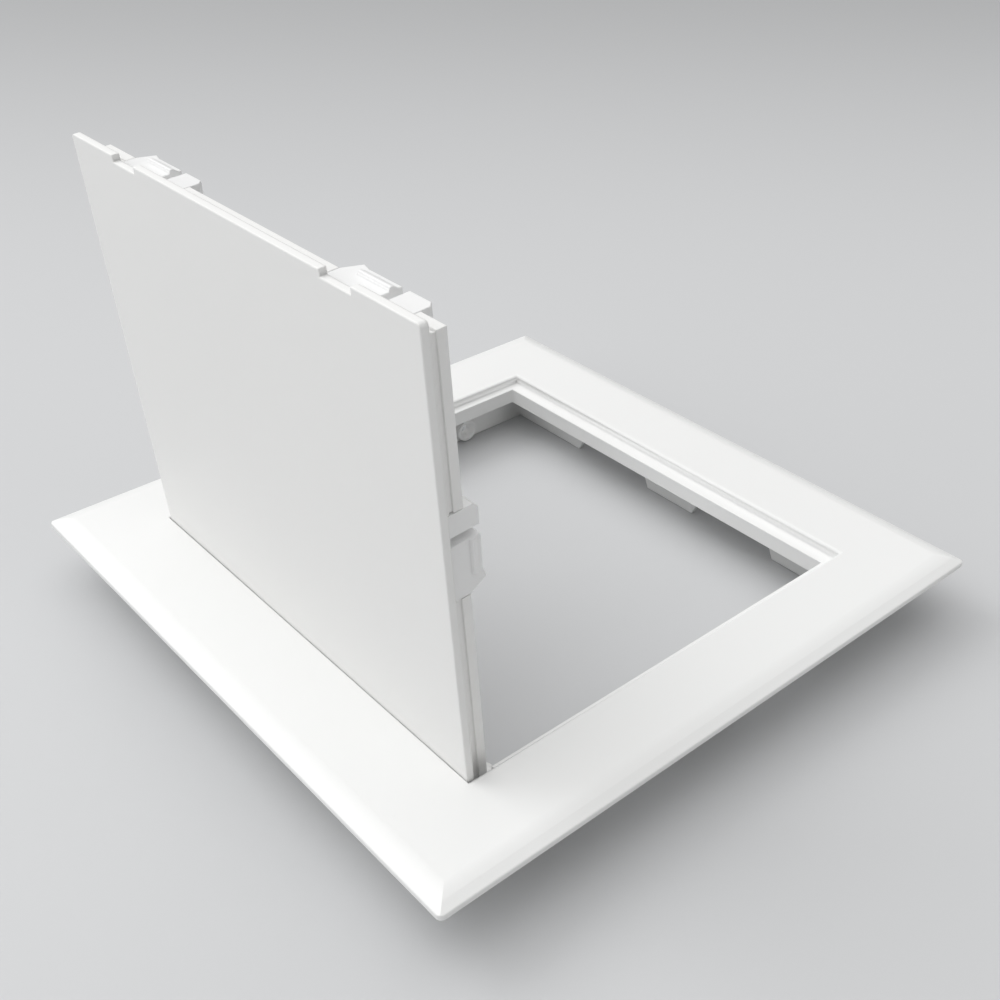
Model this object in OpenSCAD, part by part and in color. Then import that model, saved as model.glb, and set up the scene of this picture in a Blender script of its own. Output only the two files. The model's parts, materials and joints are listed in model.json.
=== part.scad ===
/* [Flange] */
// Outer side of the square flange
flange_w = 245; // [235:1:260]
// Side of the square opening in the flange
opening_w = 182; // [178:1:184]
// Height of the flange above the ceiling
flange_h = 4.5; // [4:0.1:6]
// Height of the upright rim round the flange
edge_h = 2; // [1:0.1:2.5]
// Width of the bevel round the flange
bevel_w = 5.4; // [3:0.1:7]
// Radius of the flange's outer corners
flange_r = 2; // [0.5:0.1:4]
// Width of the flange's bearing strip on the ceiling
seat_w = 4; // [2.5:0.1:6]
// Wall thickness of the frame moulding
frame_wall = 2.2; // [1.6:0.1:2.6]
// Distance between the stiffening ribs under the flange
flange_rib_pitch = 28; // [20:1:45]
// Thickness of the stiffening ribs
rib_t = 1.6; // [1:0.1:2.2]

/* [Rebate] */
// Gap between the closed door's panel and the ledge
seat_gap = 0.9; // [0.4:0.1:1.2]
// Width of the ledge along the two sides of the rebate
ledge_w = 3.6; // [3:0.1:4.5]
// Width of the ledge on the latch side of the rebate
latch_ledge_w = 5.5; // [4:0.1:6]
// Height of the lip that the catches hook under
lip_h = 6.8; // [6.5:0.1:7.2]
// Reach of the flange past the opening on the hinge side
sill_w = 3.7; // [3:0.1:4.2]
// Reach of the flange past the opening on the latch side
latch_sill_w = 1.7; // [0.5:0.1:2.5]

/* [Neck] */
// Outer side of the neck that passes through the ceiling
neck_w = 198; // [196:1:206]
// Wall thickness of the neck
neck_wall = 2; // [1.5:0.1:2.5]
// Depth of the neck's tabs below the ceiling face
neck_depth = 22; // [22:0.5:32]
// Depth of the neck's wall between its tabs
neck_short = 13; // [12:0.5:15]
// Width of the middle tab on each side
mid_tab_w = 26; // [18:1:36]
// Length of a corner tab along each side
corner_tab_l = 43; // [41:1:50]
// Run of the sloped ends of the tabs
tab_slope = 4; // [1:0.5:6]

/* [Fixing screws] */
// Distance of the fixing holes from the middle of the side
screw_x = 63; // [62:0.5:66]
// Depth of the fixing holes below the ceiling face
screw_drop = 16.4; // [15.8:0.1:16.6]
// Diameter of the fixing holes
screw_d = 4.5; // [3.5:0.1:5]
// Diameter of the countersinks
screw_head_d = 8; // [7:0.1:8.5]
// Diameter of the bosses round the fixing holes
boss_d = 10.4; // [9.5:0.1:11]
// Height of the bosses inside the neck
boss_h = 2.5; // [1.5:0.1:3.5]

/* [Door] */
// Gap round the edge of the closed door
door_gap = 0.5; // [0.4:0.05:0.7]
// Thickness of the front panel
panel_t = 3; // [2.6:0.1:3.4]
// Corner radius of the front panel
panel_r = 1.5; // [0.5:0.1:3]
// Gap between the back rim and the ledge
rim_gap = 0.6; // [0.4:0.05:0.9]
// Wall thickness of the back rim
rim_wall = 2.2; // [1.6:0.1:2.6]
// Height of the back rim behind the panel
rim_h = 7.4; // [6.8:0.1:7.6]
// Width of the groove round the back rim
groove_w = 1.4; // [0.6:0.1:1.6]
// Depth of the groove round the back rim
groove_d = 0.7; // [0.3:0.1:0.9]
// Distance of the groove from the rim's back edge
groove_edge = 3.2; // [2.4:0.1:3.4]
// Height of the ribs on the door's back
rib_h = 5; // [3:0.1:6.5]
// Distance of the long ribs from the middle line
rib_y = 25; // [18:0.5:27]
// Place of the cross rib nearer the hinge
rib_x_low = -24; // [-35:1:-12]
// Place of the cross rib nearer the catches
rib_x_high = 54; // [48:1:62]

/* [Hinge] */
// Angle of the open door from closed
open_angle = 93.75; // [85:0.25:95]
// Distance of the hinge axis behind the door's face
hinge_depth = 11.1; // [10.9:0.1:12]
// Gap between the open door and the edge of the sill
stop_gap = 0.2; // [0.15:0.05:0.6]
// Diameter of the hinge pins
pin_d = 5; // [4:0.1:6]
// Radial clearance of the pins in the frame
pin_clear = 0.05; // [0.02:0.01:0.08]
// Chamfer on the ends of the pins
pin_chamfer = 0.6; // [0.3:0.1:1]
// Diameter of the frame's hinge ears
ear_d = 12; // [10:0.2:13]
// Gap between the ears and the door's lugs
ear_gap = 0.5; // [0.3:0.05:0.8]
// Diameter of the door's hinge lugs
lug_d = 8.4; // [8:0.2:10]
// Thickness of the door's hinge lugs
lug_w = 4.4; // [4:0.1:6]

/* [Catches] */
// Length of a latch-side catch along the door's edge
catch_l = 34; // [32:0.5:36]
// Distance of its bevelled end from the middle of its notch
catch_lead = 13.6; // [12.5:0.1:14]
// Distance of its cross slot from its bevelled end
catch_slot = 20.6; // [20.2:0.1:24]
// Length of a side catch along the door's edge
side_catch_l = 28.7; // [27:0.1:31]
// Distance of its bevelled end from the door's free edge
side_catch_from_edge = 87.9; // [80:0.1:92]
// Distance of its cross slot from its bevelled end
side_catch_slot = 18.4; // [16:0.1:20]
// Thickness of a catch, from the back rim's outer face inwards
catch_t = 9; // [8:0.1:10]
// Reach of a catch's nose past the back rim
nose_reach = 1.2; // [1:0.1:1.6]
// Height of the nose
nose_h = 3.2; // [2.6:0.1:3.6]
// Rise of the nose's hooking face from its root to its tip
nose_rake = 0.5; // [0.3:0.1:0.8]
// Height of the flat tip of the nose
nose_tip = 0.8; // [0.5:0.1:1.2]
// Gap between the nose and the frame's lip
nose_gap = 0.3; // [0.2:0.05:0.5]
// Spring travel of a catch
catch_travel = 2.4; // [2.3:0.1:2.8]
// Depth of a catch's back behind the door's face
catch_back = 15.2; // [14.4:0.1:16]
// Height of the bump at the bevelled end above the catch's back
bump_h = 0.9; // [0.4:0.1:1.5]
// Run of the slope at the bevelled end
bump_run = 3.2; // [2:0.1:4.5]
// Distance of the bump's far end from the bevelled end
bump_end = 6.5; // [5.5:0.5:10]
// Length of the cross slot
slot_l = 3; // [2:0.1:4]
// Depth of the cross slot in the catch's outer face
slot_d = 4; // [2:0.1:5]
// Distance of the cross slot from the panel
slot_gap = 1.5; // [0.8:0.1:3]
// Chamfer on the end of the hook
hook_chamfer = 1.6; // [0.5:0.1:2]
// Clearance of a catch in its guide
catch_clear = 0.25; // [0.2:0.05:0.5]
// Depth of the guide rails on the catch's ends
rail_d = 1.2; // [0.8:0.1:1.4]
// Height of the guide rails
rail_h = 2; // [1.5:0.1:2.5]
// Wall thickness behind the guide grooves
cheek_wall = 1.2; // [1:0.1:2]
// Distance of the notches in the panel's edge from the middle line
notch_y = 56; // [54:0.5:57]
// Length of the notches
notch_l = 13.5; // [10:0.5:18]
// Depth of the notches
notch_d = 2.2; // [1.5:0.1:3.2]

/* [Hidden] */
$fn = 64;
// Cuts run past a face by eps, and ribs run into a wall by weld
eps = 0.5;
weld = 0.3;
frame_white = [0.95, 0.95, 0.94];
door_white = [0.93, 0.93, 0.92];
catch_white = [0.97, 0.97, 0.97];
pin_white = [0.88, 0.88, 0.87];

// Heights: the neck's tabs stand on z = 0
rebate_depth = panel_t + seat_gap;
z_seat = neck_depth;
z_face = z_seat + flange_h;
z_skin = z_face - frame_wall;
z_ledge = z_face - rebate_depth;
z_axis = z_face - hinge_depth;
z_panel_back = z_face - panel_t;
z_rim_back = z_panel_back - rim_h;
z_groove = z_rim_back + groove_edge;

// Half sides, measured from the middle of the opening
flange_half = flange_w / 2;
open_half = opening_w / 2;
ledge_half = open_half - ledge_w;
neck_half = neck_w / 2;
neck_in = neck_half - neck_wall;
door_half = open_half - door_gap;
rim_half = ledge_half - rim_gap;
rim_inset = door_half - rim_half;

// The hinge side lies at -x and the door's free edge at +x
x_latch = open_half - latch_sill_w;
x_latch_ledge = x_latch - latch_ledge_w;
x_free = x_latch - door_gap;
x_rim_free = x_latch_ledge - rim_gap;
x_sill = -(open_half - sill_w);
x_tail = x_sill + door_gap;
x_rim_tail = x_tail + rim_inset;
// The open door's face stands stop_gap away from the sill
x_axis = x_sill + stop_gap + hinge_depth * tan(open_angle / 2);

// Depths behind the door's face that the catches are built from
lip_end = rebate_depth + lip_h;
nose_face = lip_end + nose_gap;
nose_end = nose_face + nose_h;
rim_end = panel_t + rim_h;
catch_front = panel_t + catch_clear;
catch_top = catch_back + bump_h;
slot_floor = panel_t + slot_gap;
rail_front = (panel_t + rim_end - rail_h) / 2;
rail_out = -rim_wall - catch_clear;
stop_out = -catch_t - catch_travel - catch_clear;
guide_in = stop_out - rib_t;
cheek_w = rail_d + cheek_wall;

module slab(x0, x1, y0, y1, z0, z1) {
  translate([x0, y0, z0])
    cube([x1 - x0, y1 - y0, z1 - z0]);
}

module square_slab(half, z0, z1) {
  slab(-half, half, -half, half, z0, z1);
}

module square_ring(outer, inner, z0, z1) {
  difference() {
    square_slab(outer, z0, z1);
    square_slab(inner, z0 - eps, z1 + eps);
  }
}

// Three-sided wall, open towards the hinge, with its inner faces at side_in and latch_in
module u_ring(side_in, latch_in, side_wall, latch_wall, z0, z1) {
  side_out = side_in + side_wall;
  difference() {
    slab(x_axis, latch_in + latch_wall, -side_out, side_out, z0, z1);
    slab(x_axis - eps, latch_in, -side_in, side_in, z0 - eps, z1 + eps);
  }
}

// Bar with an outline in x and z that runs along y
module bar_along_y(points, y0, y1) {
  translate([0, y1, 0])
    rotate([90, 0, 0])
      linear_extrude(y1 - y0)
        polygon(points);
}

module rod_along_y(d, x, z, y0, y1) {
  translate([x, y0, z])
    rotate([-90, 0, 0])
      cylinder(d = d, h = y1 - y0);
}

module both_sides() {
  children();
  mirror([0, 1, 0])
    children();
}

module four_sides() {
  for (turn = [0 : 3])
    rotate(90 * turn)
      children();
}

module flange_bevels() {
  four_sides()
    bar_along_y(
      [
        [flange_half - bevel_w, z_face],
        [flange_half + eps, z_seat + edge_h - eps * (flange_h - edge_h) / bevel_w],
        [flange_half + eps, z_face + eps],
        [flange_half - bevel_w, z_face + eps]
      ],
      -flange_half - eps, flange_half + eps
    );
}

module flange_ribs() {
  count = floor((neck_half - flange_rib_pitch / 2) / flange_rib_pitch);
  four_sides()
    for (place = [-count : count])
      slab(
        neck_half - weld, flange_half - seat_w + weld,
        place * flange_rib_pitch - rib_t / 2, place * flange_rib_pitch + rib_t / 2,
        z_seat, z_skin + weld
      );
}

// The sill's edge is cut back below, so that the door's tail swings under it
module sill_undercut() {
  bar_along_y(
    [
      [x_sill, z_face],
      [x_sill - frame_wall, z_skin],
      [x_sill - frame_wall, z_skin - eps],
      [x_sill + eps, z_skin - eps],
      [x_sill + eps, z_face]
    ],
    -open_half, open_half
  );
}

module flange() {
  difference() {
    translate([0, 0, z_seat])
      linear_extrude(flange_h)
        rounded_panel(-flange_half, flange_half, flange_half, flange_r);
    flange_bevels();
    square_ring(flange_half - seat_w, neck_half, z_seat - eps, z_skin);
    square_slab(neck_in, z_seat - eps, z_skin);
    slab(x_sill, x_latch, -open_half, open_half, z_seat, z_face + eps);
    sill_undercut();
  }
  flange_ribs();
}

module rebate() {
  z_low = z_ledge - frame_wall;
  u_ring(open_half, x_latch, frame_wall, frame_wall, z_low, z_skin + frame_wall / 2);
  u_ring(ledge_half, x_latch_ledge, ledge_w + frame_wall, latch_ledge_w + frame_wall, z_low, z_ledge);
  u_ring(ledge_half, x_latch_ledge, frame_wall, frame_wall, z_face - lip_end, z_ledge);
}

module neck_gap(inner_end, outer_end) {
  bar_along_y(
    [
      [inner_end, -eps],
      [inner_end, 0],
      [inner_end + tab_slope, neck_depth - neck_short],
      [outer_end - tab_slope, neck_depth - neck_short],
      [outer_end, 0],
      [outer_end, -eps]
    ],
    neck_in - eps, neck_half + eps
  );
}

module neck() {
  gap_inner = mid_tab_w / 2;
  gap_outer = neck_half - corner_tab_l;
  difference() {
    square_ring(neck_half, neck_in, 0, z_skin + frame_wall / 2);
    four_sides() {
      neck_gap(gap_inner, gap_outer);
      neck_gap(-gap_outer, -gap_inner);
    }
  }
}

module hinge_ear() {
  ear_face = rim_half + ear_gap;
  ear_r = ear_d / 2;
  rod_along_y(ear_d, x_axis, z_axis, ear_face, neck_in + neck_wall / 2);
  slab(
    x_axis - ear_r, x_axis + ear_r, open_half + door_gap, neck_in + neck_wall / 2,
    z_axis, z_skin + frame_wall / 2
  );
}

module hinge_bore() {
  rod_along_y(pin_d + 2 * pin_clear, x_axis, z_axis, rim_half - lug_w, neck_half + eps);
}

module screw_bosses() {
  for (side = [-1, 1])
    rod_along_y(boss_d, side * screw_x, z_seat - screw_drop, neck_in - boss_h, neck_half - neck_wall / 2);
}

module screw_holes() {
  sink = (screw_head_d - screw_d) / 2;
  for (side = [-1, 1]) {
    rod_along_y(screw_d, side * screw_x, z_seat - screw_drop, neck_in - boss_h - eps, neck_half + eps);
    translate([side * screw_x, neck_in - boss_h, z_seat - screw_drop])
      rotate([-90, 0, 0])
        cylinder(d1 = screw_head_d, d2 = screw_d, h = sink);
  }
}

module frame() {
  color(frame_white)
    difference() {
      union() {
        flange();
        rebate();
        neck();
        both_sides() {
          hinge_ear();
          screw_bosses();
        }
      }
      both_sides() {
        hinge_bore();
        screw_holes();
      }
    }
}

// Everything on the door is drawn closed and then swung open about the hinge
module swung_open() {
  translate([x_axis, 0, z_axis])
    rotate([0, -open_angle, 0])
      translate([-x_axis, 0, -z_axis])
        children();
}

// Places of the catches: along the edge from the bevelled end is x, outwards is y, the door's face is z = 0
module at_latch(middle) {
  translate([x_rim_free, middle + catch_lead, z_face])
    rotate(-90)
      children();
}

module at_latches() {
  at_latch(notch_y)
    children();
  at_latch(-notch_y)
    children();
}

module at_side_left() {
  translate([x_free - side_catch_from_edge, rim_half, z_face])
    children();
}

module at_side_right() {
  mirror([0, 1, 0])
    at_side_left()
      children();
}

module at_sides() {
  at_side_left()
    children();
  at_side_right()
    children();
}

module rounded_panel(x0, x1, half, r) {
  for (x = [x0 + r, x1 - r])
    for (y = [-half + r, half - r])
      translate([x, y])
        circle(r);
  translate([x0 + r, -half])
    square([x1 - x0 - 2 * r, 2 * half]);
  translate([x0, -half + r])
    square([x1 - x0, 2 * half - 2 * r]);
}

module panel_notch(middle) {
  slab(
    x_free - notch_d, x_free + eps, middle - notch_l / 2, middle + notch_l / 2,
    z_panel_back - eps, z_face + eps
  );
}

module door_panel() {
  color(door_white)
    swung_open()
      difference() {
        translate([0, 0, z_panel_back])
          linear_extrude(panel_t)
            rounded_panel(x_tail, x_free, door_half, panel_r);
        panel_notch(notch_y);
        panel_notch(-notch_y);
      }
}

// Slab over the back rim's outline, drawn in by a depth all round
module rim_slab(depth, z0, z1) {
  slab(x_rim_tail + depth, x_rim_free - depth, -rim_half + depth, rim_half - depth, z0, z1);
}

module back_rim() {
  difference() {
    union() {
      rim_slab(0, z_rim_back, z_groove);
      rim_slab(groove_d, z_rim_back, z_panel_back);
      rim_slab(0, z_groove + groove_w, z_panel_back);
    }
    rim_slab(rim_wall, z_rim_back - eps, z_panel_back + eps);
  }
}

module back_ribs() {
  low = z_panel_back - rib_h;
  for (y = [-rib_y, rib_y])
    slab(
      x_rim_tail + rim_wall / 2, x_rim_free - rim_wall / 2,
      y - rib_t / 2, y + rib_t / 2, low, z_panel_back
    );
  for (x = [rib_x_low, rib_x_high])
    slab(
      x - rib_t / 2, x + rib_t / 2,
      -rim_half + rim_wall / 2, rim_half - rim_wall / 2, low, z_panel_back
    );
}

// Two cheeks and a stop behind a catch of length l
module catch_guide(l) {
  for (x = [-catch_clear - cheek_w, l + catch_clear])
    slab(x, x + cheek_w, guide_in, -rim_wall / 2, -rim_end, -panel_t);
  slab(-catch_clear - eps, l + catch_clear + eps, guide_in, stop_out, -rim_end, -panel_t);
}

// Window in the rim for a catch of length l, and grooves for its rails
module catch_guide_cuts(l) {
  slab(-catch_clear, l + catch_clear, -rim_wall - eps, eps, -rim_end - eps, -panel_t + eps);
  slab(
    -catch_clear - rail_d, l + catch_clear + rail_d, stop_out, -rim_wall,
    -rail_front - rail_h - catch_clear, -rail_front + catch_clear
  );
}

module hinge_lug() {
  lug_r = lug_d / 2;
  rod_along_y(lug_d, x_axis, z_axis, rim_half - lug_w, rim_half);
  slab(
    x_axis - lug_r, x_axis + lug_r, rim_half - lug_w, rim_half,
    z_axis, z_panel_back
  );
}

module door_back() {
  color(door_white)
    swung_open()
      difference() {
        union() {
          back_rim();
          back_ribs();
          at_latches()
            catch_guide(catch_l);
          at_sides()
            catch_guide(side_catch_l);
          both_sides()
            hinge_lug();
        }
        at_latches()
          catch_guide_cuts(catch_l);
        at_sides()
          catch_guide_cuts(side_catch_l);
        both_sides()
          rod_along_y(pin_d, x_axis, z_axis, rim_half - lug_w - eps, rim_half + eps);
      }
}

module hinge_pin() {
  pin_start = rim_half - lug_w;
  pin_l = neck_half - pin_start;
  translate([x_axis, pin_start, z_axis])
    rotate([-90, 0, 0])
      rotate_extrude()
        polygon([
          [0, 0],
          [pin_d / 2 - pin_chamfer, 0],
          [pin_d / 2, pin_chamfer],
          [pin_d / 2, pin_l - pin_chamfer],
          [pin_d / 2 - pin_chamfer, pin_l],
          [0, pin_l]
        ]);
}

module hinge_pin_left() {
  color(pin_white)
    swung_open()
      hinge_pin();
}

module hinge_pin_right() {
  color(pin_white)
    swung_open()
      mirror([0, 1, 0])
        hinge_pin();
}

// Outline of a catch along the door's edge, from its bevelled end to its hook
module catch_block(l) {
  bar_along_y(
    [
      [0, -catch_front],
      [0, -rim_end],
      [bump_run, -catch_top],
      [bump_end, -catch_back],
      [l - hook_chamfer, -catch_back],
      [l, -catch_back + hook_chamfer],
      [l, -catch_front]
    ],
    -catch_t, 0
  );
}

// The nose is steep towards the frame's lip and sloped where it meets the lip on closing
module catch_nose(slot) {
  translate([bump_end, 0, 0])
    rotate([90, 0, 90])
      linear_extrude(slot - bump_end)
        polygon([
          [-eps, -nose_face],
          [0, -nose_face],
          [nose_reach, -nose_face - nose_rake],
          [nose_reach, -nose_face - nose_rake - nose_tip],
          [0, -nose_end],
          [-eps, -nose_end]
        ]);
}

module catch_rails(l) {
  slab(-rail_d, l + rail_d, -catch_t, rail_out, -rail_front - rail_h, -rail_front);
}

// Catch of length l, with a slot across its outer face between the nose and the hook
module catch_piece(l, slot) {
  color(catch_white)
    difference() {
      union() {
        catch_block(l);
        catch_nose(slot);
        catch_rails(l);
      }
      slab(slot, slot + slot_l, -slot_d, eps, -catch_top - eps, -slot_floor);
    }
}

module latch_catch_piece() {
  catch_piece(catch_l, catch_slot);
}

module side_catch_piece() {
  catch_piece(side_catch_l, side_catch_slot);
}

module catch_latch_left() {
  swung_open()
    at_latch(notch_y)
      latch_catch_piece();
}

module catch_latch_right() {
  swung_open()
    at_latch(-notch_y)
      latch_catch_piece();
}

module catch_side_left() {
  swung_open()
    at_side_left()
      side_catch_piece();
}

module catch_side_right() {
  swung_open()
    at_side_right()
      side_catch_piece();
}

frame();
door_panel();
door_back();
hinge_pin_left();
hinge_pin_right();
catch_latch_left();
catch_latch_right();
catch_side_left();
catch_side_right();
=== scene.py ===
"""Looks, light and camera for the ceiling access panel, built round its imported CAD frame."""

import json
import math

import bmesh
import bpy
from mathutils import Matrix, Vector
from mathutils.bvhtree import BVHTree


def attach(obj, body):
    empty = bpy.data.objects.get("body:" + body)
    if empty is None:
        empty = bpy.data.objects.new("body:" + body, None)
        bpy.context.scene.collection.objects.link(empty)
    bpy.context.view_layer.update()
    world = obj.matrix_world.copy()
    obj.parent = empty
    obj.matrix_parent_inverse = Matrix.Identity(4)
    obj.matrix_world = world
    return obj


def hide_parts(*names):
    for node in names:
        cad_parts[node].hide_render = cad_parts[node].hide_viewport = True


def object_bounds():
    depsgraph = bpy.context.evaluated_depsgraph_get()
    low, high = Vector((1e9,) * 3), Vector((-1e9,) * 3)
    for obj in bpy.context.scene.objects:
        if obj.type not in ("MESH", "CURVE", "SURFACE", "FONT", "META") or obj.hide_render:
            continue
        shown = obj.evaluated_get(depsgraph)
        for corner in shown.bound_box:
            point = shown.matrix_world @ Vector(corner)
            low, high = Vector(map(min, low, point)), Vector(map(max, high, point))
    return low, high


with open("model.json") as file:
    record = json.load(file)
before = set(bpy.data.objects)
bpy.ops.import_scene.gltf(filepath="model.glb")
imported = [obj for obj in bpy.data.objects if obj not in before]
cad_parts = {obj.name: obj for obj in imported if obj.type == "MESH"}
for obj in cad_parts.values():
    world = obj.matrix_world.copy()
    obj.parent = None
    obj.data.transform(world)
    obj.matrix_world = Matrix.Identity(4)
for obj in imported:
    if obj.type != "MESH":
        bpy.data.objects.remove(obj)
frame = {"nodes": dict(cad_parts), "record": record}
cad_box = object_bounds()

MM = 0.001

# The ceiling face, from which the camera's heights are measured
mounts = {mount["name"]: Vector(mount["pos_m"]) for mount in frame["record"]["mounts"]}
SEAT = mounts["ceiling_face"].z

# The door's hinge: its angle from closed, and the way that the open door's back faces
joints = {joint["name"]: joint for joint in frame["record"]["behaviour"]["joints"]}
OPEN_ANGLE = math.radians(-joints["door_swing"]["range_deg"][0])
DOOR_BACK = Vector((math.sin(OPEN_ANGLE), 0, -math.cos(OPEN_ANGLE)))
UP = Vector((0, 0, 1))

# Camera, solved from the corners of the flange in the photograph
CAMERA_PLACE = Vector((-0.25322, -0.30415, SEAT + 0.28503))
CAMERA_AIM = Vector((0.01698, 0.01729, SEAT + 0.0045))
CAMERA_ROLL = math.radians(0.42)
CAMERA_LENS = 46.378
SENSOR = 36.0
CLIP_START, CLIP_END = 0.01, 20

# Colours, in linear light
FRAME_WHITE = (0.865, 0.868, 0.860)
DOOR_WHITE = (0.872, 0.871, 0.860)
CATCH_WHITE = (0.880, 0.882, 0.880)
PIN_WHITE = (0.790, 0.785, 0.765)
FLOOR_GREY = (0.595, 0.601, 0.609)

# Floor: half its width, its drop below the part, where painted shade darkens it along the view, and the share
# of its colour that this painted shade leaves far off
FLOOR_REACH = 12.0
FLOOR_DROP = 0.05 * MM
FLOOR_SHADE_SPAN = (0.15, 1.15)
FLOOR_FAR_SHADE = 0.66

# Sky: its brightest direction, where it starts to brighten, and its strengths
SKY_TOP = Vector((-0.22, 0.25, 0.94)).normalized()
SKY_START = 0.30
SKY_HIGH = 1.58
SKY_LOW = 0.20

# Lamps: place, the point that each one faces, size, power and colour
LAMPS = {
    "key": (Vector((-1.20, 1.95, 2.35)), Vector((0, 0, 0.03)), 1.8, 23, (1, 1, 1)),
    "side": (Vector((-1.90, 0.20, 0.70)), Vector((0, 0, 0.08)), 1.2, 2.5, (1, 1, 1)),
    "fill": (Vector((0.10, -1.60, 0.48)), Vector((0, 0, 0.10)), 0.6, 1.5, (1.0, 0.98, 0.95)),
}

# Plastic: scale of its clouds and dust, stretch and turn of its flow lines and scuffs, reach of its worn edges
CLOUD_SCALE = 22
DUST_SCALE = 900
FLOW_STRETCH, FLOW_TURN = (14, 90, 60), (0.2, 0.1, 0.5)
SCUFF_STRETCH, SCUFF_TURN = (60, 700, 400), (0.4, 0.3, 0.8)
WORN_REACH = 0.5 * MM

# Edge radii of the mouldings, and of the softer edges round one face of the frame and of the panel
FRAME_EDGE, FRAME_SOFT = 0.35 * MM, 1.0 * MM
PANEL_EDGE, PANEL_SOFT = 0.4 * MM, 1.1 * MM
BACK_EDGE = 0.25 * MM
PIN_EDGE = 0.15 * MM
CATCH_EDGE = 0.3 * MM

# Mesh clean-up, and how far edges are rounded by their angle and their room
MERGE_DISTANCE = 0.002 * MM
FLAT_ANGLE = math.radians(0.5)
FACE_BAND = 0.01 * MM
SHARP_ANGLE = math.radians(20)
CHAIN_ANGLE = math.radians(35)
SHALLOW_ANGLE = math.radians(45)
SHALLOW_SHARE = 2.4
THIN_ANGLE = math.radians(100)
THIN_SHARE = 0.12
EDGE_SHARE = 0.4
EDGE_STEPS = 3

# Marks that the ejector pins leave: their size, and their places under the flange and in a cell of the door
MARK_RADIUS = 2.2 * MM
MARK_HEIGHT = 0.12 * MM
MARK_SIDES = 24
MARK_ROW = 108.7 * MM
MARK_ROOM = 40 * MM
RIB_PITCH = 28 * MM
RIB_SPACES = range(-3, 3)
RAY_START = 1 * MM
CELL_PLACES = (0.25, 0.75)


class Value:
    """A shader socket that can stand in a Python sum."""

    def __init__(self, look, socket):
        self.look = look
        self.socket = socket

    def sum(self, operation, *terms):
        return self.look.node("ShaderNodeMath", {"operation": operation}, *terms)

    def __add__(self, other):
        return self.sum("ADD", self, other)

    def __sub__(self, other):
        return self.sum("SUBTRACT", self, other)

    def __rsub__(self, other):
        return self.sum("SUBTRACT", other, self)

    def __mul__(self, other):
        return self.sum("MULTIPLY", self, other)

    __radd__ = __add__
    __rmul__ = __mul__


class Shading:
    """The nodes of a material or of the world."""

    def __init__(self, owner, shader):
        owner.use_nodes = True
        self.tree = owner.node_tree
        self.shader = self.tree.nodes[shader]

    def node(self, kind, settings=None, *values, out=0, **named):
        """Adds a node: its settings first, then its sockets in order or by name."""
        made = self.tree.nodes.new(kind)
        for key, value in (settings or {}).items():
            setattr(made, key, value)
        sockets = list(enumerate(values)) + [(key.replace("_", " "), value) for key, value in named.items()]
        for key, value in sockets:
            if isinstance(value, Value):
                self.tree.links.new(value.socket, made.inputs[key])
            else:
                made.inputs[key].default_value = value
        return Value(self, made.outputs[out])

    def between(self, value, low, high):
        """The share, from 0 to 1, that a value has gone from low to high, with soft ends."""
        return self.node(
            "ShaderNodeMapRange", {"interpolation_type": "SMOOTHSTEP"}, Value=value,
            From_Min=low, From_Max=high,
        )

    def along(self, first, second):
        """How far one direction goes along another."""
        return self.node("ShaderNodeVectorMath", {"operation": "DOT_PRODUCT"}, first, second, out="Value")

    def feed(self, socket, value):
        self.tree.links.new(value.socket, self.shader.inputs[socket])


class Look(Shading):
    """A node material with one Principled shader."""

    def __init__(self, name, roughness, **fixed):
        self.material = bpy.data.materials.new(name)
        super().__init__(self.material, "Principled BSDF")
        self.shader.inputs["Roughness"].default_value = roughness
        for socket, value in fixed.items():
            self.shader.inputs[socket.replace("_", " ")].default_value = value

    def place(self):
        return self.node("ShaderNodeTexCoord", out="Object")

    def noise(self, scale, detail=2.0, roughness=0.5, place=None):
        return self.node(
            "ShaderNodeTexNoise", None, Vector=place or self.place(),
            Scale=scale, Detail=detail, Roughness=roughness,
        )

    def stretched(self, scale, turn=(0, 0, 0)):
        return self.node("ShaderNodeMapping", None, Vector=self.place(), Scale=scale, Rotation=turn)

    def edges(self, radius):
        """1 on outer and inner edges and 0 on flats."""
        soft = self.node("ShaderNodeBevel", {"samples": 4}, Radius=radius)
        true = self.node("ShaderNodeNewGeometry", out="Normal")
        return self.between(1 - self.along(soft, true), 0.01, 0.22)

    def mixed(self, share, first, second):
        """A colour between two colours."""
        mix = self.tree.nodes.new("ShaderNodeMix")
        mix.data_type = "RGBA"
        colour_sockets = [s for s in mix.inputs if s.type == "RGBA"]
        self.tree.links.new(share.socket, mix.inputs[0])
        for socket, colour in zip(colour_sockets, (first, second)):
            if isinstance(colour, Value):
                self.tree.links.new(colour.socket, socket)
            else:
                socket.default_value = (*colour, 1.0)
        return Value(self, [s for s in mix.outputs if s.type == "RGBA"][0])

    def bump(self, height, distance, strength=1.0):
        self.feed("Normal", self.node(
            "ShaderNodeBump", None, Height=height, Distance=distance, Strength=strength,
        ))


def shade(colour, share):
    return tuple(channel * share for channel in colour)


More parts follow.
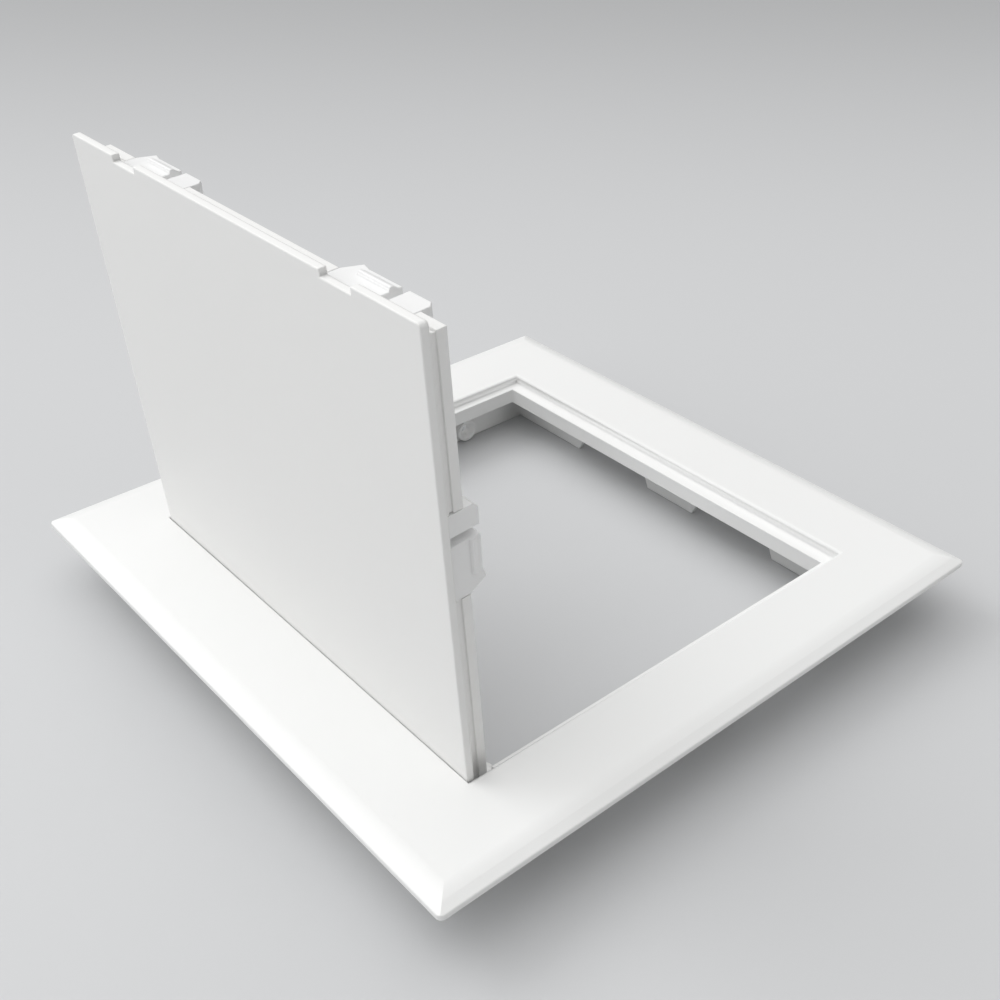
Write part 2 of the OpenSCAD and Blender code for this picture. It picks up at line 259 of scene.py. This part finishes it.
def moulded_plastic(name, colour, roughness, grain, grain_depth):
    """White moulded plastic: fine tool grain, faint flow clouds, rubbed edges and a little dust."""
    look = Look(name, roughness, IOR=1.5)
    clouds = look.noise(CLOUD_SCALE, detail=3)
    flow = look.noise(1.0, detail=2, place=look.stretched(FLOW_STRETCH, FLOW_TURN))
    tooth = look.noise(1 / grain, detail=2, roughness=0.65)
    dust = look.between(look.noise(DUST_SCALE, detail=1), 0.70, 0.82)
    rubbed = look.noise(1.0, detail=4, roughness=0.7, place=look.stretched(SCUFF_STRETCH, SCUFF_TURN))
    scuffs = look.between(rubbed, 0.62, 0.78)
    worn = look.edges(WORN_REACH)
    tint = look.mixed(clouds, shade(colour, 0.985), colour)
    tint = look.mixed(dust * 0.10, tint, shade(colour, 0.80))
    tint = look.mixed(scuffs * 0.05, tint, shade(colour, 0.90))
    look.feed("Base Color", look.mixed(worn * 0.25, tint, tuple(min(c * 1.03, 0.93) for c in colour)))
    uneven = roughness + (clouds - 0.5) * 0.10 + (tooth - 0.5) * 0.08
    look.feed("Roughness", uneven - worn * 0.10 + scuffs * 0.06)
    look.bump(tooth * 0.8 + flow * 0.5 + scuffs * 0.2, grain_depth)
    return look.material


def floor_paper():
    """Pale seamless paper with a faint tooth, and painted shade that darkens it away from the camera in place
    of light falling off.
    """
    look = Look("floor_paper", 0.85)
    away = (CAMERA_AIM - CAMERA_PLACE) * Vector((1, 1, 0))
    depth = look.along(look.place(), away.normalized())
    fibre = look.noise(700, detail=3)
    tone = look.noise(3, detail=2)
    tint = look.mixed(tone, shade(FLOOR_GREY, 0.985), FLOOR_GREY)
    # painted shade: the floor's colour darkens along the view, standing in for light that falls off far from
    # the lamps
    tint = look.mixed(look.between(depth, *FLOOR_SHADE_SPAN), tint, shade(FLOOR_GREY, FLOOR_FAR_SHADE))
    look.feed("Base Color", look.mixed(fibre * 0.05, tint, shade(FLOOR_GREY, 0.85)))
    look.bump(fibre, 0.05 * MM, strength=0.3)
    return look.material


def plain_mesh(piece):
    """Turns a piece with modifiers into a plain mesh."""
    bpy.context.view_layer.update()
    graph = bpy.context.evaluated_depsgraph_get()
    made = bpy.data.meshes.new_from_object(
        piece.evaluated_get(graph), preserve_all_data_layers=True, depsgraph=graph,
    )
    made.name = piece.name
    piece.modifiers.clear()
    piece.data = made


def joined_facets(node, name):
    """The mesh of a CAD node with its flat facets joined."""
    shape = bmesh.new()
    shape.from_mesh(frame["nodes"][node].data)
    bmesh.ops.remove_doubles(shape, verts=shape.verts, dist=MERGE_DISTANCE)
    bmesh.ops.dissolve_limit(shape, angle_limit=FLAT_ANGLE, verts=shape.verts, edges=shape.edges)
    shape.verts.index_update()
    mesh = bpy.data.meshes.new(name)
    faces = [[vert.index for vert in face.verts] for face in shape.faces]
    mesh.from_pydata([vert.co[:] for vert in shape.verts], [], faces)
    shape.free()
    mesh.shade_smooth()
    return mesh


def run_on(edge, other):
    """Whether two edges that meet run on into each other."""
    ways = [(e.verts[1].co - e.verts[0].co).normalized() for e in (edge, other)]
    return abs(ways[0].dot(ways[1])) > math.cos(CHAIN_ANGLE)


def met_edges(edge):
    return [other for vert in edge.verts for other in vert.link_edges if other is not edge]


def edge_chain(start, sharp):
    """Takes from the sharp edges all those that run on from one of them."""
    chain = [start]
    for edge in chain:
        for other in met_edges(edge):
            if other in sharp and run_on(edge, other):
                sharp.discard(other)
                chain.append(other)
    return chain


def room_beside(edge):
    """The shortest edge that leaves either end of an edge without running on from it."""
    beside = (other for other in met_edges(edge) if not run_on(edge, other))
    return min((other.calc_length() for other in beside), default=math.inf)


def weigh_edges(mesh, widest, radius_of):
    """Marks the outer edges with their share of the widest rounding, the same along each chain of them."""
    shape = bmesh.new()
    shape.from_mesh(mesh)
    weights = shape.edges.layers.float.new("bevel_weight_edge")
    joined = (edge for edge in shape.edges if edge.is_manifold)
    sharp = {edge for edge in joined if edge.calc_face_angle_signed() > SHARP_ANGLE}
    while sharp:
        chain = edge_chain(sharp.pop(), sharp)
        radius = min(min(radius_of(edge), EDGE_SHARE * room_beside(edge)) for edge in chain)
        for edge in chain:
            edge[weights] = radius / widest
    shape.to_mesh(mesh)
    shape.free()


def softness(edge):
    """How far an edge of a soft face is rounded: more where it is shallow, and little where it is thin."""
    angle = edge.calc_face_angle()
    if angle < SHALLOW_ANGLE:
        return SHALLOW_SHARE
    return THIN_SHARE if angle > THIN_ANGLE else 1.0


def keep_inside(mesh, cad_mesh):
    """Takes off what rounding adds outside the box of the CAD mesh, which is less than a micrometre."""
    columns = list(zip(*(vert.co for vert in cad_mesh.vertices)))
    corners = [[pick(column) for column in columns] for pick in (min, max)]
    for vert in mesh.vertices:
        vert.co = [min(max(at, low), high) for at, low, high in zip(vert.co, *corners)]


def moulded_copy(node, name, edge_radius, material, body, soft_face=None, soft_radius=0.0):
    """Replaces a CAD node by a copy with moulded edges, which are softer round one of its faces."""
    mesh = joined_facets(node, name)
    widest = max(edge_radius, soft_radius * SHALLOW_SHARE)
    reach = max(vert.co.dot(soft_face) for vert in mesh.vertices) if soft_face else math.inf

    def radius_of(edge):
        soft = soft_face and all(vert.co.dot(soft_face) > reach - FACE_BAND for vert in edge.verts)
        return soft_radius * softness(edge) if soft else edge_radius

    weigh_edges(mesh, widest, radius_of)
    piece = bpy.data.objects.new(name, mesh)
    bpy.context.scene.collection.objects.link(piece)
    rounding = piece.modifiers.new("rounded_edges", "BEVEL")
    rounding.width = widest
    rounding.segments = EDGE_STEPS
    rounding.limit_method = "WEIGHT"
    rounding.use_clamp_overlap = False
    rounding.loop_slide = False
    rounding.harden_normals = True
    flats = piece.modifiers.new("flat_normals", "WEIGHTED_NORMAL")
    flats.keep_sharp = True
    plain_mesh(piece)
    keep_inside(piece.data, frame["nodes"][node].data)
    piece.data.materials.clear()
    piece.data.materials.append(material)
    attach(piece, body)
    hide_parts(node)


frame_plastic = moulded_plastic("frame_plastic", FRAME_WHITE, 0.42, 0.5 * MM, 0.020 * MM)
door_plastic = moulded_plastic("door_plastic", DOOR_WHITE, 0.50, 0.4 * MM, 0.025 * MM)
catch_plastic = moulded_plastic("catch_plastic", CATCH_WHITE, 0.34, 0.8 * MM, 0.010 * MM)
pin_plastic = moulded_plastic("pin_plastic", PIN_WHITE, 0.30, 0.8 * MM, 0.008 * MM)

moulded_copy(
    "frame", "frame_moulding", FRAME_EDGE, frame_plastic, "frame",
    soft_face=UP, soft_radius=FRAME_SOFT,
)
moulded_copy(
    "door_panel", "door_front", PANEL_EDGE, door_plastic, "door",
    soft_face=DOOR_BACK, soft_radius=PANEL_SOFT,
)
moulded_copy("door_back", "door_rim", BACK_EDGE, door_plastic, "door")
for side in ("left", "right"):
    moulded_copy("hinge_pin_" + side, "pin_" + side, PIN_EDGE, pin_plastic, "door")
    for edge in ("latch", "side"):
        node = "catch_%s_%s" % (edge, side)
        moulded_copy(node, node + "_clip", CATCH_EDGE, catch_plastic, node)


def marks_tree():
    """Geometry Nodes that put a low round mark, as an ejector pin leaves it, on each point of a mesh."""
    tree = bpy.data.node_groups.new("ejector_marks", "GeometryNodeTree")
    face = tree.interface
    face.new_socket("Points", in_out="INPUT", socket_type="NodeSocketGeometry")
    for name, kind in (
        ("Radius", "NodeSocketFloat"), ("Height", "NodeSocketFloat"), ("Sides", "NodeSocketInt"),
        ("Turn", "NodeSocketVector"), ("Plastic", "NodeSocketMaterial"),
    ):
        face.new_socket(name, in_out="INPUT", socket_type=kind)
    face.new_socket("Marks", in_out="OUTPUT", socket_type="NodeSocketGeometry")

    def add(kind, **links):
        made = tree.nodes.new(kind)
        for socket, source in links.items():
            tree.links.new(source, made.inputs[socket.replace("_", " ")])
        return made

    given = add("NodeGroupInput").outputs
    smaller = tree.nodes.new("ShaderNodeMath")
    smaller.operation = "SUBTRACT"
    tree.links.new(given["Radius"], smaller.inputs[0])
    tree.links.new(given["Height"], smaller.inputs[1])
    disc = add(
        "GeometryNodeMeshCone", Vertices=given["Sides"], Radius_Top=smaller.outputs[0],
        Radius_Bottom=given["Radius"], Depth=given["Height"],
    )
    turn = add("FunctionNodeEulerToRotation", Euler=given["Turn"])
    marks = add(
        "GeometryNodeInstanceOnPoints", Points=given["Points"], Instance=disc.outputs["Mesh"],
        Rotation=turn.outputs["Rotation"],
    )
    whole = add("GeometryNodeRealizeInstances", Geometry=marks.outputs["Instances"])
    painted = add("GeometryNodeSetMaterial", Geometry=whole.outputs["Geometry"], Material=given["Plastic"])
    add("NodeGroupOutput", Marks=painted.outputs["Geometry"])
    return tree


def ejector_marks(name, node, starts, way, turn, material, body):
    """Marks where rays that leave the starts in one direction meet a CAD node."""
    shell = frame["nodes"][node].data
    target = BVHTree.FromPolygons([v.co for v in shell.vertices], [f.vertices for f in shell.polygons])
    hits = [target.ray_cast(start, way)[0] for start in starts]
    mesh = bpy.data.meshes.new(name)
    mesh.from_pydata([hit[:] for hit in hits if hit], [], [])
    piece = bpy.data.objects.new(name, mesh)
    bpy.context.scene.collection.objects.link(piece)
    marking = piece.modifiers.new("marks", "NODES")
    marking.node_group = MARKS
    sizes = {
        "Radius": MARK_RADIUS, "Height": MARK_HEIGHT, "Sides": MARK_SIDES, "Turn": turn, "Plastic": material,
    }
    for socket in MARKS.interface.items_tree:
        if socket.name in sizes:
            marking[socket.identifier] = sizes[socket.name]
    plain_mesh(piece)
    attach(piece, body)


def under_flange():
    """Points below the flange, half-way between its ribs on all four sides."""
    for turn in range(4):
        for place in RIB_SPACES:
            yield Matrix.Rotation(turn * math.pi / 2, 3, "Z") @ Vector((
                MARK_ROW, (place + 0.5) * RIB_PITCH, SEAT - RAY_START,
            ))


def behind_door():
    """Points behind the door, in each cell between its ribs."""
    for cell in frame["record"]["physics"]["openings"]:
        if cell["name"].startswith("back_cell"):
            low, high = (Vector(corner) for corner in cell["box_m"])
            span = high - low
            for up in CELL_PLACES if span.z > MARK_ROOM else (0.5,):
                for along in CELL_PLACES:
                    yield Vector((high.x, low.y + along * span.y, low.z + up * span.z))


MARKS = marks_tree()
ejector_marks(
    "frame_ejector_marks", "frame", under_flange(), UP, (math.pi, 0, 0),
    frame_plastic, "frame",
)
ejector_marks(
    "door_ejector_marks", "door_panel", behind_door(), -DOOR_BACK, (0, math.pi - OPEN_ANGLE, 0),
    door_plastic, "door",
)


def flat_floor():
    """A wide flat floor that the neck's tabs stand on."""
    shape = bmesh.new()
    bmesh.ops.create_grid(shape, x_segments=8, y_segments=8, size=FLOOR_REACH)
    mesh = bpy.data.meshes.new("floor")
    shape.to_mesh(mesh)
    shape.free()
    floor = bpy.data.objects.new("floor", mesh)
    floor.location.z = cad_box[0].z - FLOOR_DROP
    mesh.materials.append(floor_paper())
    bpy.context.scene.collection.objects.link(floor)


def area_light(name, place, aim, size, power, colour):
    lamp = bpy.data.lights.new(name, "AREA")
    lamp.shape = "SQUARE"
    lamp.size = size
    lamp.energy = power
    lamp.color = colour
    holder = bpy.data.objects.new(name, lamp)
    holder.location = place
    holder.rotation_euler = (aim - place).to_track_quat("-Z", "Y").to_euler()
    bpy.context.scene.collection.objects.link(holder)


def studio():
    """A soft sky, brightest above the left of the view, a lamp there, and weak ones from the left and right."""
    world = bpy.data.worlds.new("studio")
    sky = Shading(world, "Background")
    way = sky.node("ShaderNodeTexCoord", out="Generated")
    height = sky.along(way, SKY_TOP)
    sky.shader.inputs["Color"].default_value = (1, 1, 1, 1)
    sky.feed("Strength", SKY_LOW + sky.between(height, SKY_START, 1.0) * (SKY_HIGH - SKY_LOW))
    bpy.context.scene.world = world
    for name, lamp in LAMPS.items():
        area_light(name, *lamp)


def camera():
    lens = bpy.data.cameras.new("camera")
    lens.sensor_width = SENSOR
    lens.lens = CAMERA_LENS
    lens.clip_start, lens.clip_end = CLIP_START, CLIP_END
    holder = bpy.data.objects.new("camera", lens)
    ahead = (CAMERA_AIM - CAMERA_PLACE).normalized()
    level = ahead.to_track_quat("-Z", "Y").to_matrix()
    turned = Matrix.Rotation(CAMERA_ROLL, 3, ahead) @ level
    holder.matrix_world = Matrix.Translation(CAMERA_PLACE) @ turned.to_4x4()
    bpy.context.scene.collection.objects.link(holder)
    bpy.context.scene.camera = holder


flat_floor()
studio()
camera()
bpy.context.scene.view_settings.view_transform = "Standard"
